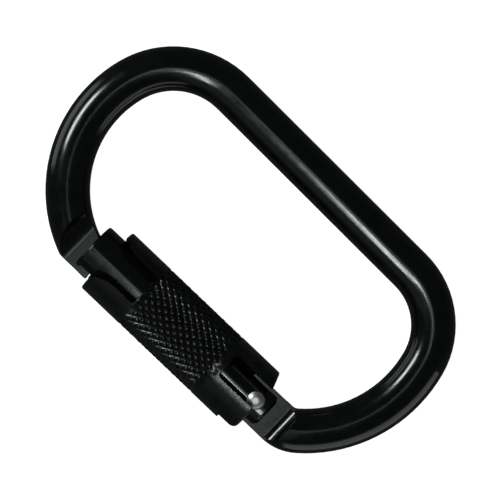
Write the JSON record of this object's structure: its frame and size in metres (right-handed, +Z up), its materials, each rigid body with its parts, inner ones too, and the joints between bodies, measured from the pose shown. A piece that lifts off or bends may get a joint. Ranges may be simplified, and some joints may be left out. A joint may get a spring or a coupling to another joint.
{
  "type": "locking carabiner",
  "caption": "Oval steel carabiner with an inward-swinging gate locked by a spring-loaded, knurled quarter-turn sleeve.",
  "frame": {"origin": "middle of the whole carabiner's box, on the level mid-plane of the bar", "axes": "+X along the gate from nose to hinge, +Y from the gate to the spine, +Z up out of the loop's plane"},
  "size_m": [0.1078, 0.0626, 0.0176],
  "materials": {
    "black_bar": "gloss black coated steel",
    "black_sleeve": "gloss black coated steel, knurled",
    "bright_steel": "bright, lightly turned",
    "spring_steel": "drawn wire"
  },
  "bodies": {
    "frame": {"carabiner_body": "black_bar"},
    "gate": {"gate": "black_bar", "hinge_rivet": "bright_steel", "gate_spring": "spring_steel", "guide_pin": "bright_steel", "sleeve_spring": "spring_steel"},
    "plunger": {"gate_plunger": "bright_steel"},
    "sleeve": {"locking_sleeve": "black_sleeve", "spring_ring": "black_sleeve"}
  },
  "joints": [
    {"name": "gate_swing", "type": "hinge", "parent": "frame", "child": "gate", "pos_m": [0.02521, -0.02215, 0], "axis": [0, 0, -1], "range_deg": [0, 32], "stiffness_Nm_per_rad": 0.018, "springref_deg": -68.75},
    {"name": "plunger_slide", "type": "slide", "parent": "gate", "child": "plunger", "axis": [-1, 0, 0], "range_m": [0, 0.0009], "deforming": ["gate_spring"]},
    {"name": "sleeve_twist", "type": "hinge", "parent": "gate", "child": "sleeve", "pos_m": [0, -0.02255, 0], "axis": [-1, 0, 0], "range_deg": [0, 80], "stiffness_Nm_per_rad": 0.01, "springref_deg": -85.94, "deforming": ["sleeve_spring"]}
  ],
  "couplings": [
    {"joint": "plunger_slide", "follows": "gate_swing", "m_per_rad": 0.0015}
  ]
}
